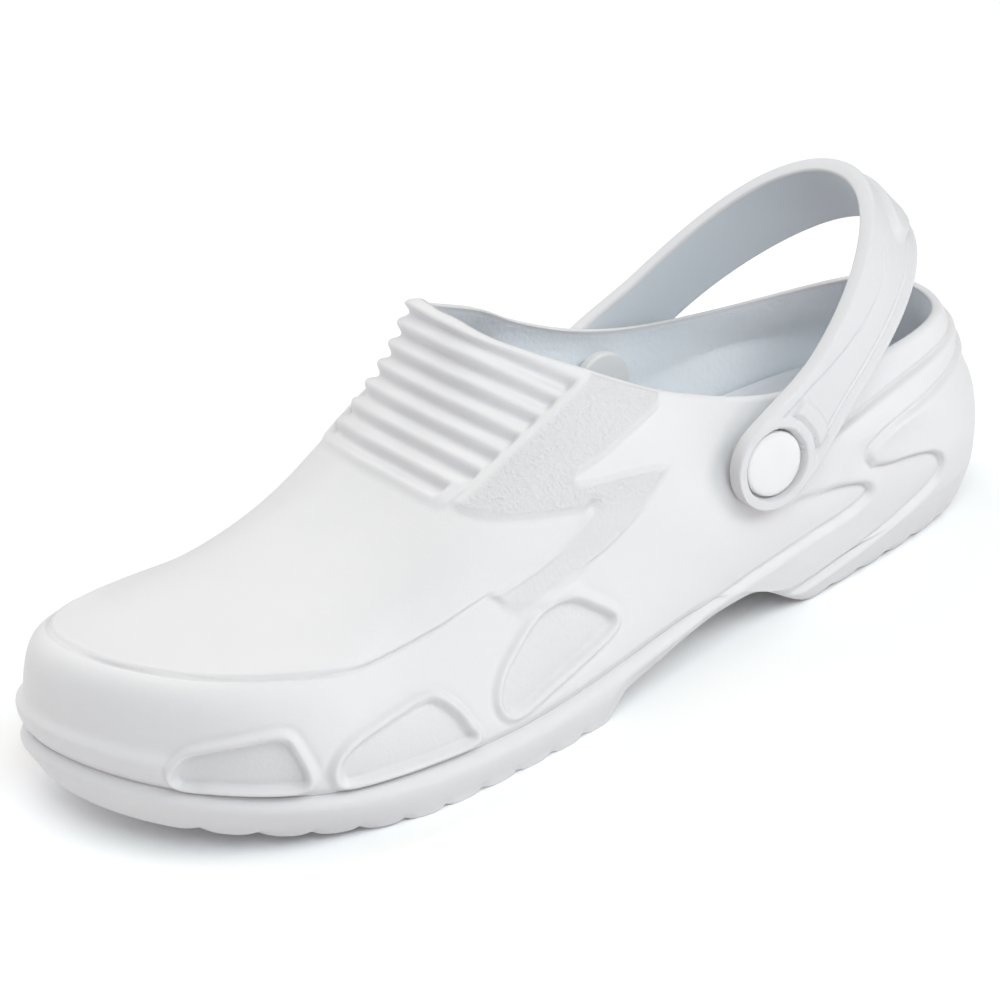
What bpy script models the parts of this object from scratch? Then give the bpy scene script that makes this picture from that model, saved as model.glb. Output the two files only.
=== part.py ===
"""Foam clog for the left foot: outsole, hollow upper, insole, heel strap and the strap's rivets.

Tables are in millimetres and degrees, and the meshes are built in metres.  +X points to the toe,
+Y to the wearer's left, which is the outer side of this shoe, and +Z up from the floor at zero.
"""

from collections import namedtuple

import bmesh
import bpy
import numpy as np
from mathutils import Matrix

MM = 0.001
GAP = 0.3  # clearance between neighbouring pieces

# Upper: sections around the shoe, from the heel along the outer side to the toe and back
Section = namedtuple("Section", "name foot shoulder rim foot_pitch shoulder_pitch rim_pitch")
SECTIONS = [
    Section("heel_back", (-139, -1, 14), (-142.6, -1, 35), (-131, -0.5, 58.6), -12, 20, 30),
    Section("heel_outer_back", (-126.5, 25.5, 14), (-125, 26.6, 35), (-122, 22.5, 58.6), -12, 20, 29),
    Section("heel_outer", (-96, 36, 13), (-93.5, 40, 42), (-94, 31.5, 57.3), -10, 1, 16),
    Section("quarter_outer", (-51, 39, 8.5), (-53, 41, 42), (-60, 34, 59.3), -10, 2, 16),
    Section("waist_outer", (-26, 42.5, 17), (-21, 43, 43), (-36, 32.5, 66.8), -8, 11, 34),
    Section("ball_outer", (23, 49, 13), (22, 42.5, 48), (-18, 32.5, 75.8), -6, 0, 56),
    Section("ribs_outer", (66.5, 51.5, 12.5), (67.5, 39.5, 41.5), (-4.5, 27, 83.8), -4, 38, 61),
    Section("corner_outer", (100.5, 44.5, 15), (88.5, 39, 42), (14.5, 15, 94.8), -4, 68, 36),
    Section("toe_outer", (127, 22, 19), (115.5, 22, 45.5), (20.5, 3.5, 99.2), -1, 86, 18),
    Section("toe_tip", (141, -10.5, 21), (132.5, -17.5, 48), (21.3, -4.5, 99.9), 3, 92, 21),
    Section("toe_inner", (134, -42.5, 17.5), (115, -36.6, 45.5), (20.8, -13.8, 100.3), 0, 86, 18),
    Section("corner_inner", (100, -50.2, 16), (88.5, -39.5, 42.5), (14.6, -23, 95.4), -4, 68, 35),
    Section("ribs_inner", (63, -51.3, 15), (67, -37, 43), (-4.5, -29.4, 86), -4, 37, 61),
    Section("ball_inner", (25, -46, 16), (22, -40.5, 48.5), (-18, -36, 76.5), -6, 0, 56),
    Section("waist_inner", (-20, -39, 19), (-21, -38.5, 43), (-36, -36, 66.8), -8, 11, 34),
    Section("quarter_inner", (-50, -36, 9.5), (-53, -37, 42), (-60, -34.5, 59.3), -10, 2, 16),
    Section("heel_inner", (-91, -36, 11.5), (-93, -38, 42), (-94, -29.5, 56.3), -10, 1, 16),
    Section("heel_inner_back", (-125, -27, 13.5), (-128, -29, 35), (-122.5, -18, 57.9), -12, 12, 32),
]
SECTION_COUNT = len(SECTIONS)
TOE_STATION = SECTION_COUNT / 2
COLUMNS_PER_SECTION = 4
COLUMNS = SECTION_COUNT * COLUMNS_PER_SECTION
WALL = 4.0  # foam wall of the upper
RIM_CROWN = 1.4  # height of the rounded collar edge over its two faces
INWARD_PULL = 20.0  # keeps the profile planes pointing inwards where rim and shoulder line up

# Ribs across the instep, measured from the collar rim
RIB_GROOVES = 7
FIRST_GROOVE, FIRST_GROOVE_AT_EDGE = 3.5, 6.1
LAST_GROOVE = 40.2
RIB_SPREAD = (2.0, 2.9)  # sections from the toe over which the first groove leaves the rim
RIM_RIB = 0.4  # place of the rim's own crest, as a share of the first groove's distance
RIB_CREST = 1.2
RIB_DEPTH = 1.0
PanelEdge = namedtuple("PanelEdge", "distance station")
PANEL_EDGE = [
    PanelEdge(0, 6.03),
    PanelEdge(15, 6.23),
    PanelEdge(31, 6.46),
    PanelEdge(40, 6.65),
]
PANEL_SHARE = 0.8  # most of a short profile that the rings of the ribs may take
PROFILE_SAMPLES = 60

# Toe: moulded seam on the shoulder line and the lip over the sole
SEAM_FROM, SEAM_TO = 5.5, 12.5
SEAM_STEP = 0.7
LIP_FROM, LIP_TO = 7.3, 10.7
LIP_RISE = 1.6
EDGE_FADE = 0.6  # sections over which seam and lip fade out
WALL_STEPS = (0.0, 0.12, 0.26, 0.42, 0.6, 0.78, 0.94)
LIP_STEP, SEAM_UNDER_STEP = 2, 6  # places of the lip and of the seam's lower edge in WALL_STEPS
VAMP_STEPS = (0.0, 0.25, 0.5, 0.75)
INNER_RING_STRIDE = 2  # the smooth inside has every second ring of the outside

# Blind windows in the side wall: station in sections, lower and upper edge above the foot line
Window = namedtuple("Window", "station low high")
WINDOWS = {
    "toe": [
        Window(7.06, 3.2, 8.0),
        Window(7.18, 3.2, 14.6),
        Window(7.28, 3.0, 16.0),
        Window(7.55, 3.0, 13.6),
        Window(7.80, 3.0, 11.0),
        Window(7.92, 3.0, 5.0),
    ],
    "ball": [
        Window(5.80, 4.0, 5.6),
        Window(5.86, 4.0, 12.4),
        Window(5.95, 4.0, 16.6),
        Window(6.30, 4.0, 14.4),
        Window(6.64, 3.8, 10.6),
        Window(6.76, 3.6, 5.0),
    ],
    "waist": [
        Window(4.77, 12.4, 14.0),
        Window(4.87, 11.2, 19.8),
        Window(4.99, 10.0, 23.8),
        Window(5.16, 8.4, 22.2),
        Window(5.46, 5.6, 11.2),
        Window(5.52, 5.0, 6.2),
    ],
}
WINDOW_DEPTH = 1.6
WINDOW_CLEAR = 4.0  # how far the cutters stand off the wall

# Outsole: rings of its side from the joint line down, the last one the edge of the tread
Band = namedtuple("Band", "offset inset_share height_share")
SOLE_BAND = [
    Band(-0.6, 0.0, 1.0),
    Band(1.3, 0.1, 0.82),
    Band(1.6, 0.28, 0.55),
    Band(0.6, 0.58, 0.22),
    Band(0.0, 1.0, 0.0),
]
HEEL_FADE = (-95.0, -40.0)  # where the band turns flat along the shoe
TreadInset = namedtuple("TreadInset", "x inset")
TREAD_INSETS = [
    TreadInset(-143, 9.5),
    TreadInset(-100, 6.5),
    TreadInset(-60, 3.2),
    TreadInset(0, 2.0),
    TreadInset(30, 0.6),
    TreadInset(72, 0.8),
    TreadInset(95, 3.6),
    TreadInset(112, 3.6),
    TreadInset(141, 0.8),
]
HEEL_BREAST = (-60.0, -36.0)
ArchStep = namedtuple("ArchStep", "rise back front")
ARCH_STEPS = [ArchStep(5.2, 8.0, 19.0), ArchStep(6.7, -28.0, 20.0)]
BALL_X, TIP_X = 72.0, 141.5
TOE_SPRING = 10.4
TOE_CURVE = 1.7
HEEL_BEVEL_X, HEEL_BEVEL = -122.0, 2.0
HEEL_END = -143.5
BED_HEEL, BED_BALL = 26.5, 17.3  # top of the sole under the insole
BED_FALL = (-60.0, 35.0)
BED_SPRING = 0.6  # share of the toe spring that the bed follows

# Tread: cross grooves under the forefoot and the heel
Tread = namedtuple("Tread", "start end pitch")
TREADS = [Tread(25.5, 133.0, 10.8), Tread(-121.0, -60.0, 11.0)]
GROOVE_WIDTH = 2.4
GROOVE_DEPTH = 1.8
GROOVE_SPAN = 140.0

# Insole
INSOLE_THICK = 3.0
INSOLE_CLEAR = 0.5
INSOLE_EDGE = 4.0  # width of its raised edge
INSOLE_CREST = 1.2  # place of the crest of that edge
INSOLE_DISH = 0.8
INSOLE_STRIDE = 2  # it has every second column of the wall

# Heel strap: a band along a rounded U in a plane through the rivets
PIVOT_X, PIVOT_Z = -44.0, 49.7
STRAP_TILT = 31.2
STRAP_REACH = 83.8
STRAP_THICK = 4.6
STRAP_CONE = 0.0014  # share of its reach that the band loses per millimetre upwards
STRAP_HALF_WIDTH = 9.5
STRAP_BACK_WIDTH = 11.8  # half width behind the heel
STRAP_END_RADIUS = 12.4
STRAP_WIDENING = 30.0  # distance from the rivets where the band is narrowest
STRAP_ROUND = 2.06  # exponent of the U: 2 is an ellipse
STRAP_STEPS = 36
STRAP_END_STEPS = 5
STRAP_TIP_ANGLE = 3.5
STRAP_EDGE = 1.2
STRAP_EDGE_SHARE = 0.4  # most of the half width that the softened edge may take

# Rivets: profiles from the middle outwards, as radius and height along the axis
Turned = namedtuple("Turned", "radius height")
SEAT_RADIUS, SEAT_DEPTH = 9.7, 3.0  # the heads lie sunk in round seats in the strap's ends
SEAT_CLEAR = 4.0  # how far the seats' cutters stand off the strap
HEAD_UNDER = GAP - SEAT_DEPTH
HEAD_PROFILE = [
    Turned(0, -0.9),
    Turned(4.8, -0.95),
    Turned(7.9, -1.1),
    Turned(8.8, -1.5),
    Turned(8.8, HEAD_UNDER),
]
CAP_PROFILE = [Turned(8.6, 0), Turned(8.6, -2.2), Turned(7.8, -2.7), Turned(0, -2.8)]
SHANK_RADIUS = 3.0
SOCKET_DEPTH = 1.6
RIVET_SIDES = 24
PIVOT_MARGIN = 2.0  # the wall is measured this far around a rivet

# Colours and surface
FOAM_WHITE = (0.84, 0.85, 0.87)
INSOLE_GREY = (0.80, 0.82, 0.85)
RIVET_WHITE = (0.88, 0.87, 0.86)
SHARP_ANGLE = 40


def clear_scene():
    for obj in list(bpy.data.objects):
        bpy.data.objects.remove(obj, do_unlink=True)


def unit(vectors):
    return vectors / np.maximum(np.linalg.norm(vectors, axis=-1, keepdims=True), 1e-9)


def smoothstep(low, high, value):
    share = np.clip((value - low) / (high - low), 0.0, 1.0)
    return share * share * (3.0 - 2.0 * share)


def window_of(low, high, fade, value):
    """One between low and high, falling to zero over the fade outside."""
    return smoothstep(low - fade, low, value) * (1.0 - smoothstep(high, high + fade, value))


def hermite(start, end, start_slope, end_slope, share):
    """Cubic between two points with the given slopes."""
    share2, share3 = share**2, share**3
    return (
        (2 * share3 - 3 * share2 + 1) * start
        + (share3 - 2 * share2 + share) * start_slope
        + (3 * share2 - 2 * share3) * end
        + (share3 - share2) * end_slope
    )


def closed_spline(values, stations):
    """Closed cubic curve through the rows of values, and its slope, at the given stations."""
    count = len(values)
    ones = np.eye(count)
    spread = 4 * ones + np.roll(ones, 1, axis=1) + np.roll(ones, -1, axis=1)
    slopes = np.linalg.solve(spread, 3 * (np.roll(values, -1, axis=0) - np.roll(values, 1, axis=0)))
    row = np.floor(stations).astype(int)
    share = (stations - row)[:, None]
    here, there = row % count, (row + 1) % count
    step = 0.001
    ends = (values[here], values[there], slopes[here], slopes[there])
    points = hermite(*ends, share)
    return points, (hermite(*ends, share + step) - hermite(*ends, share - step)) / (2 * step)


def upper_columns(stations):
    """Foot, shoulder and rim points of the upper at each station, with the profile's directions."""
    rows = np.array([[*s.foot, *s.shoulder, *s.rim, *s[4:]] for s in SECTIONS], float)
    values, slopes = closed_spline(rows, stations)
    foot, shoulder, rim = values[:, 0:3], values[:, 3:6], values[:, 6:9]
    along = unit(slopes[:, 0:2])
    inward = np.stack([along[:, 1], -along[:, 0]], axis=1)
    plane = unit((rim - shoulder)[:, :2] + INWARD_PULL * inward)
    directions = []
    for pitch in np.radians(values[:, 9:12]).T:
        directions.append(np.column_stack([np.sin(pitch)[:, None] * plane, np.cos(pitch)]))
    return foot, shoulder, rim, directions


def profile_part(start, end, start_way, end_way, shares):
    """Points of one half of the profile, as columns by shares."""
    length = np.linalg.norm(end - start, axis=1)[:, None, None]
    share = np.asarray(shares, float)[..., None]
    if share.ndim == 2:
        share = share[None]
    ways = (length * start_way[:, None], length * end_way[:, None])
    return hermite(start[:, None], end[:, None], *ways, share)


def wall_shares_at(stations, heights):
    """Share of the wall profile at which its length from the foot line is the given height."""
    foot, shoulder, _, ways = upper_columns(stations)
    samples = np.linspace(0, 1, PROFILE_SAMPLES)
    points = profile_part(foot, shoulder, ways[0], ways[1], samples)
    run = np.cumsum(np.linalg.norm(np.diff(points, axis=1), axis=2), axis=1)
    run = np.column_stack([np.zeros(len(stations)), run])
    return np.array([np.interp(h, r, samples) for h, r in zip(heights, run)])


def rib_rings(stations):
    """Distances from the rim of the crests and grooves of the ribs, as columns by rings."""
    spread = smoothstep(*RIB_SPREAD, np.abs(stations - TOE_STATION))
    first = FIRST_GROOVE + (FIRST_GROOVE_AT_EDGE - FIRST_GROOVE) * spread
    pitch = (LAST_GROOVE - first) / (RIB_GROOVES - 1)
    rings = [0 * first, RIM_RIB * first]
    for index in range(RIB_GROOVES):
        groove = first + pitch * index
        rings += [groove, groove + pitch / 2]
    return np.stack(rings, axis=1)


def upper_base(stations):
    """Smooth outer surface of the upper as columns by rings, from the foot line to the rim."""
    foot, shoulder, rim, ways = upper_columns(stations)
    wall = profile_part(foot, shoulder, ways[0], ways[1], WALL_STEPS)
    samples = np.linspace(0, 1, PROFILE_SAMPLES)
    top = profile_part(shoulder, rim, ways[1], ways[2], samples)
    run = np.cumsum(np.linalg.norm(np.diff(top, axis=1), axis=2), axis=1)
    run = np.column_stack([np.zeros(len(stations)), run])
    length = run[:, -1:]
    rings = rib_rings(stations)
    shrink = np.minimum(1, PANEL_SHARE * length / rings[:, -1:])
    ribs = length - shrink * rings[:, ::-1]
    vamp = ribs[:, :1] * np.array(VAMP_STEPS)
    places = np.column_stack([vamp, ribs])
    shares = np.array([np.interp(place, r, samples) for place, r in zip(places, run)])
    return np.concatenate([wall, profile_part(shoulder, rim, ways[1], ways[2], shares)], axis=1)


def surface_normals(points):
    """Outward normals of a grid that is closed along its first axis."""
    around = np.roll(points, -1, axis=0) - np.roll(points, 1, axis=0)
    return unit(np.cross(around, np.gradient(points, axis=1))) * -1.0


def upper_relief(stations):
    """Height of the lip, the seam and the ribs over the smooth surface, as columns by rings."""
    distances = rib_rings(stations)
    relief = np.zeros((len(stations), len(WALL_STEPS) + len(VAMP_STEPS) + distances.shape[1]))
    relief[:, LIP_STEP] += LIP_RISE * window_of(LIP_FROM, LIP_TO, EDGE_FADE, stations)
    seam = SEAM_STEP * window_of(SEAM_FROM, SEAM_TO, EDGE_FADE, stations)
    relief[:, SEAM_UNDER_STEP] -= seam
    relief[:, len(WALL_STEPS)] += seam
    edge = np.interp(distances, *np.transpose(PANEL_EDGE))
    ribbed = (TOE_STATION - np.abs(stations - TOE_STATION))[:, None] > edge
    is_crest = np.arange(distances.shape[1]) % 2 == 1
    heights = np.where(is_crest, RIB_CREST, -RIB_DEPTH) * ribbed
    heights[:, 0] = 0
    relief[:, -distances.shape[1] :] += heights[:, ::-1]
    return relief


def all_stations():
    return np.arange(COLUMNS) * SECTION_COUNT / COLUMNS


def inner_wall(clearance):
    """Inner face of the upper, moved further inwards by the clearance, level at the foot line."""
    base = upper_base(all_stations())
    inner = base - surface_normals(base) * (WALL + clearance)
    inner[:, 0, 2] = base[:, 0, 2]
    return inner[:, ::INNER_RING_STRIDE]


def wall_ring_at(height_of, clearance):
    """Closed ring on the inner wall at the height that a function of x gives."""
    ring = []
    for column in inner_wall(clearance):
        over = column[:, 2] - height_of(column[:, 0])
        upper = int(np.argmax(over > 0))
        low, high = over[upper - 1], over[upper]
        share = -low / (high - low)
        ring.append(column[upper - 1] + share * (column[upper] - column[upper - 1]))
    return np.array(ring)


def sole_bottom(x):
    """Height of the tread plane: zero at heel and ball, raised at the arch, the toe and the heel edge."""
    arch = sum(step.rise * (1 - smoothstep(step.back, step.front, x)) for step in ARCH_STEPS)
    arch = arch * smoothstep(*HEEL_BREAST, x)
    spring = TOE_SPRING * np.clip((x - BALL_X) / (TIP_X - BALL_X), 0, None) ** TOE_CURVE
    bevel = HEEL_BEVEL * np.clip((HEEL_BEVEL_X - x) / (HEEL_BEVEL_X - HEEL_END), 0, None) ** 2
    return arch + spring + bevel


def bed_height(x):
    """Height of the sole's upper face: high under the heel, low under the ball, rising to the toe."""
    fall = smoothstep(*BED_FALL, x)
    spring = sole_bottom(np.maximum(x, BALL_X))
    return BED_HEEL + (BED_BALL - BED_HEEL) * fall + BED_SPRING * spring


def loft(name, loops, closed, collection):
    """Solid through closed loops of points: a ring when closed, or else capped by strips across."""
    count, size = loops.shape[:2]
    index = np.arange(count * size).reshape(count, size)
    faces = []
    for row in range(count if closed else count - 1):
        here, there = index[row], index[(row + 1) % count]
        for col in range(size):
            after = (col + 1) % size
            faces.append([here[col], here[after], there[after], there[col]])
    if not closed:
        for cap in (index[0], index[-1]):
            for step in range(size // 2):
                corners = [cap[step], cap[step + 1], cap[-step - 1], cap[-step]]
                faces.append(list(dict.fromkeys(corners)))
    mesh = bpy.data.meshes.new(name)
    mesh.from_pydata((loops.reshape(-1, 3) * MM).tolist(), [], [list(map(int, f)) for f in faces])
    shape = bmesh.new()
    shape.from_mesh(mesh)
    bmesh.ops.recalc_face_normals(shape, faces=shape.faces)
    shape.to_mesh(mesh)
    shape.free()
    return add_object(name, mesh, collection)


def add_object(name, mesh, collection):
    obj = bpy.data.objects.new(name, mesh)
    collection.objects.link(obj)
    return obj


def cut(target, cutter):
    modifier = target.modifiers.new(cutter.name, "BOOLEAN")
    modifier.operation = "DIFFERENCE"
    modifier.solver = "EXACT"
    modifier.object = cutter


def new_collection(name, hidden=False):
    collection = bpy.data.collections.new(name)
    collection.hide_render = hidden
    bpy.context.scene.collection.children.link(collection)
    return collection


def as_cutter(obj):
    obj.hide_render = True
    obj.display_type = "WIRE"
    return obj


def paint(obj, colour, roughness):
    material = bpy.data.materials.new(obj.name)
    material.use_nodes = True
    shader = material.node_tree.nodes["Principled BSDF"]
    shader.inputs["Base Color"].default_value = (*colour, 1.0)
    shader.inputs["Roughness"].default_value = roughness
    shader.inputs["Metallic"].default_value = 0.0
    obj.data.materials.append(material)
    obj.data.shade_smooth()
    obj.data.set_sharp_from_angle(angle=np.radians(SHARP_ANGLE))


def make_upper(collection):
    """Hollow shell: the relief outside, the rounded rim, and the smooth wall inside."""
    stations = all_stations()
    base = upper_base(stations)
    normals = surface_normals(base)
    outer = base + normals * upper_relief(stations)[..., None]
    inner = inner_wall(0.0)[:, ::-1]
    rise = unit(base[:, -1] - base[:, -2])
    crown = (outer[:, -1] + inner[:, 0]) / 2 + rise * RIM_CROWN
    columns = np.concatenate([outer, crown[:, None], inner], axis=1)
    return loft("upper", columns, True, collection)


def window_cutters(collection):
    """One cutter for each blind window, on both sides, following the curve of the wall."""
    made = []
    for side in ("outer", "inner"):
        for name, rows in WINDOWS.items():
            stations = np.array([row.station for row in rows])
            if side == "inner":
                stations = SECTION_COUNT - stations
            heights = np.array([[row.low, row.high] for row in rows])
            foot, shoulder, _, ways = upper_columns(stations)
            shares = wall_shares_at(stations, heights)
            points = profile_part(foot, shoulder, ways[0], ways[1], shares)
            ahead, _, _, _ = upper_columns(stations + 0.01)
            around = unit((ahead - foot) * (1, 1, 0))
            rise = unit(points[:, 1] - points[:, 0])
            outward = unit(np.cross(rise, around))[:, None]
            loops = np.concatenate(
                [points + WINDOW_CLEAR * outward, (points - WINDOW_DEPTH * outward)[:, ::-1]], axis=1
            )
            made.append(as_cutter(loft(f"window_{name}_{side}", loops, False, collection)))
    return made


def make_outsole(collection):
    """Plug inside the upper, flange under its edge, bulged side band and the tread face."""
    foot, _, _, _ = upper_columns(all_stations())
    ahead = np.roll(foot, -1, axis=0) - np.roll(foot, 1, axis=0)
    outward = unit(np.stack([-ahead[:, 1], ahead[:, 0], 0 * ahead[:, 0]], axis=1))
    top = foot[:, 2] - GAP
    heel = 1 - smoothstep(*HEEL_FADE, foot[:, 0])
    inset = np.interp(foot[:, 0], *np.array(TREAD_INSETS).T)
    bottom = sole_bottom((foot - outward * inset[:, None])[:, 0])
    plug_base = inner_wall(GAP)[:, 0].copy()
    plug_base[:, 2] = top
    rings = [wall_ring_at(bed_height, GAP), plug_base]
    for band in SOLE_BAND:
        ring = foot + outward * (band.offset * (1 - heel) - band.inset_share * inset)[:, None]
        ring[:, 2] = bottom + band.height_share * (top - bottom)
        rings.append(ring)
    return loft("outsole", np.array(rings), False, collection)


def tread_cutter(collection):
    """Cross grooves of both treads, each laid along the slope of the tread face."""
    shape = bmesh.new()
    for tread in TREADS:
        for x in np.arange(tread.start, tread.end, tread.pitch):
            slope = np.arctan(sole_bottom(x + 1.0) - sole_bottom(x))
            size = [GROOVE_WIDTH * MM, GROOVE_SPAN * MM, 2 * GROOVE_DEPTH * MM, 1]
            place = Matrix.Translation((x * MM, 0, float(sole_bottom(x)) * MM))
            turn = Matrix.Rotation(-float(slope), 4, "Y")
            bmesh.ops.create_cube(shape, size=1, matrix=place @ turn @ Matrix.Diagonal(size))
    mesh = bpy.data.meshes.new("tread_grooves")
    shape.to_mesh(mesh)
    shape.free()
    return as_cutter(add_object("tread_grooves", mesh, collection))


def make_insole(collection):
    """Thin bed on the sole with a raised edge along the wall."""

    def under(x):
        return bed_height(x) + GAP

    def over(x):
        return bed_height(x) + GAP + INSOLE_THICK

    lower = wall_ring_at(under, INSOLE_CLEAR)[::INSOLE_STRIDE]
    upper = wall_ring_at(over, INSOLE_CLEAR)[::INSOLE_STRIDE]
    outline = np.where(np.abs(lower) < np.abs(upper), lower, upper)
    lower[:, :2] = outline[:, :2]
    lower[:, 2] = under(lower[:, 0])
    upper[:, :2] = outline[:, :2]
    upper[:, 2] = over(upper[:, 0])
    along = np.roll(upper, -1, axis=0) - np.roll(upper, 1, axis=0)
    inward = unit(np.stack([along[:, 1], -along[:, 0], 0 * along[:, 0]], axis=1))
    dish = upper + inward * INSOLE_EDGE
    dish[:, 2] = over(dish[:, 0]) - INSOLE_DISH
    crest = upper + inward * INSOLE_CREST
    crest[:, 2] = over(crest[:, 0])
    upper[:, 2] -= INSOLE_DISH
    return loft("insole", np.array([lower, upper, crest, dish]), False, collection)


def wall_y_near_pivot(side, face):
    """Furthest place of a wall face, in y, over the disc where the strap's end lies."""
    grid = upper_base(all_stations()) if face == "outside" else inner_wall(0.0)
    reach = STRAP_END_RADIUS if face == "outside" else CAP_PROFILE[0].radius
    near = np.hypot(grid[..., 0] - PIVOT_X, grid[..., 2] - PIVOT_Z) < reach + PIVOT_MARGIN
    near &= grid[..., 1] * side > 0
    heights = grid[..., 1][near] * side
    return side * (heights.max() if face == "outside" else heights.min())


def strap_end_y(side):
    """Place in y of the outer face of the strap's end on one side."""
    return wall_y_near_pivot(side, "outside") + side * (GAP + STRAP_THICK)


def strap_path():
    """Outer face of the strap along its U, as distance from the pivot, y and outward normal."""
    outer_y, inner_y = strap_end_y(1), strap_end_y(-1)
    middle, half = (outer_y + inner_y) / 2, (outer_y - inner_y) / 2
    turn = np.linspace(-np.pi / 2, np.pi / 2, STRAP_STEPS)
    power = 2 / STRAP_ROUND
    reach = STRAP_REACH * np.abs(np.cos(turn)) ** power
    across = middle - half * np.sign(turn) * np.abs(np.sin(turn)) ** power
    reach[[0, -1]] = 0.0
    normal = unit(np.column_stack([-np.gradient(across), np.gradient(reach)]))
    normal[0], normal[-1] = (0, 1), (0, -1)
    half_width = np.full(STRAP_STEPS, STRAP_HALF_WIDTH)
    half_width += (STRAP_END_RADIUS - STRAP_HALF_WIDTH) * (1 - smoothstep(0, STRAP_WIDENING, reach))
    back = smoothstep(STRAP_WIDENING, STRAP_REACH, reach)
    half_width += (STRAP_BACK_WIDTH - STRAP_HALF_WIDTH) * back
    angles = np.linspace(np.radians(STRAP_TIP_ANGLE), np.pi / 2, STRAP_END_STEPS + 1)[:-1]
    tail = -STRAP_END_RADIUS * np.cos(angles)
    tail_width = STRAP_END_RADIUS * np.sin(angles)
    reach = np.concatenate([tail, reach, tail[::-1]])
    ones = np.ones(STRAP_END_STEPS)
    across = np.concatenate([across[0] * ones, across, across[-1] * ones])
    ends = np.tile((0.0, 1.0), (STRAP_END_STEPS, 1))
    normal = np.concatenate([ends, normal, -ends])
    half_width = np.concatenate([tail_width, half_width, tail_width[::-1]])
    return reach, across, normal, half_width


def make_strap(collection):
    """Band with softened edges carried along the U, with round ends over the rivets."""
    reach, across, normal, half_width = strap_path()
    tilt = np.radians(STRAP_TILT)
    back = np.array([-np.cos(tilt), 0, np.sin(tilt)])
    wide = np.array([np.sin(tilt), 0, np.cos(tilt)])
    side = np.array([0, 1, 0])
    centre = np.array([PIVOT_X, 0, PIVOT_Z]) + reach[:, None] * back + across[:, None] * side
    rise = wide - STRAP_CONE * reach[:, None] * back
    outward = normal[:, :1] * back + normal[:, 1:] * side
    soft = np.minimum(STRAP_EDGE, STRAP_EDGE_SHARE * half_width)
    corners = [
        (0, half_width - soft),
        (-soft, half_width),
        (soft - STRAP_THICK, half_width),
        (-STRAP_THICK, half_width - soft),
    ]
    corners += [(depth, -width) for depth, width in corners[::-1]]
    loops = []
    for depth, width in corners:
        depth = np.broadcast_to(depth, reach.shape)[:, None]
        loops.append(centre + depth * outward + width[:, None] * rise)
    return loft("heel_strap", np.stack(loops, axis=1), False, collection)


def make_turned(name, profile, side, y, collection):
    """Turned piece on the rivet axis: a profile of radius and height, its zero height at y."""
    mesh = bpy.data.meshes.new(name)
    points = [(radius * MM, 0, height * MM) for radius, height in profile]
    mesh.from_pydata(points, [(i, i + 1) for i in range(len(points) - 1)], [])
    obj = add_object(name, mesh, collection)
    obj.location = (PIVOT_X * MM, y * MM, PIVOT_Z * MM)
    obj.rotation_euler = (-side * np.pi / 2, 0, 0)
    screw = obj.modifiers.new("turn", "SCREW")
    screw.steps = screw.render_steps = RIVET_SIDES
    screw.use_merge_vertices = True
    screw.merge_threshold = 0.00001
    return obj


def make_rivet(side, word, collection):
    """Outer head with its shank, and the inner cap that the shank snaps into."""
    strap_y = strap_end_y(side)
    inner_y = wall_y_near_pivot(side, "inside")
    cap_y = inner_y - side * GAP
    length = abs(strap_y - cap_y) + SOCKET_DEPTH
    head = HEAD_PROFILE + [(SHANK_RADIUS, HEAD_UNDER), (SHANK_RADIUS, GAP - length), (0, GAP - length)]
    hole = SHANK_RADIUS + GAP
    socket = [(0, -SOCKET_DEPTH - GAP), (hole, -SOCKET_DEPTH - GAP), (hole, 0)]
    cap = socket + CAP_PROFILE
    return (
        make_turned(f"rivet_{word}", head, side, strap_y, collection),
        make_turned(f"rivet_cap_{word}", cap, side, cap_y, collection),
    )


def pivot_cutter(collection):
    """Round bar along the rivet axis, for the holes through the strap and the wall."""
    shape = bmesh.new()
    radius = (SHANK_RADIUS + GAP) * MM
    place = Matrix.Translation((PIVOT_X * MM, 0, PIVOT_Z * MM)) @ Matrix.Rotation(np.pi / 2, 4, "X")
    bmesh.ops.create_cone(
        shape,
        cap_ends=True,
        segments=RIVET_SIDES,
        radius1=radius,
        radius2=radius,
        depth=GROOVE_SPAN * MM,
        matrix=place,
    )
    mesh = bpy.data.meshes.new("rivet_hole")
    shape.to_mesh(mesh)
    shape.free()
    return as_cutter(add_object("rivet_hole", mesh, collection))


def seat_cutter(side, word, collection):
    """Disc over one end of the strap, for the seat of the rivet's head."""
    profile = [(0, SEAT_CLEAR), (SEAT_RADIUS, SEAT_CLEAR), (SEAT_RADIUS, -SEAT_DEPTH), (0, -SEAT_DEPTH)]
    return as_cutter(make_turned(f"rivet_seat_{word}", profile, side, strap_end_y(side), collection))


def build():
    clear_scene()
    parts = new_collection("foam_clog")
    helpers = new_collection("cutters", hidden=True)
    hole = pivot_cutter(helpers)

    outsole = make_outsole(parts)
    cut(outsole, tread_cutter(helpers))
    paint(outsole, FOAM_WHITE, 0.55)

    upper = make_upper(parts)
    for window in window_cutters(helpers):
        cut(upper, window)
    cut(upper, hole)
    paint(upper, FOAM_WHITE, 0.45)

    paint(make_insole(parts), INSOLE_GREY, 0.7)

    strap = make_strap(parts)
    cut(strap, hole)
    for side, word in ((1, "outer"), (-1, "inner")):
        cut(strap, seat_cutter(side, word, helpers))
        for piece in make_rivet(side, word, parts):
            paint(piece, RIVET_WHITE, 0.35)
    paint(strap, FOAM_WHITE, 0.45)


build()
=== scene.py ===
"""Looks of the foam clog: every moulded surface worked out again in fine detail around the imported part."""

import bmesh
import bpy
import numpy as np
from mathutils import Matrix, Vector


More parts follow.
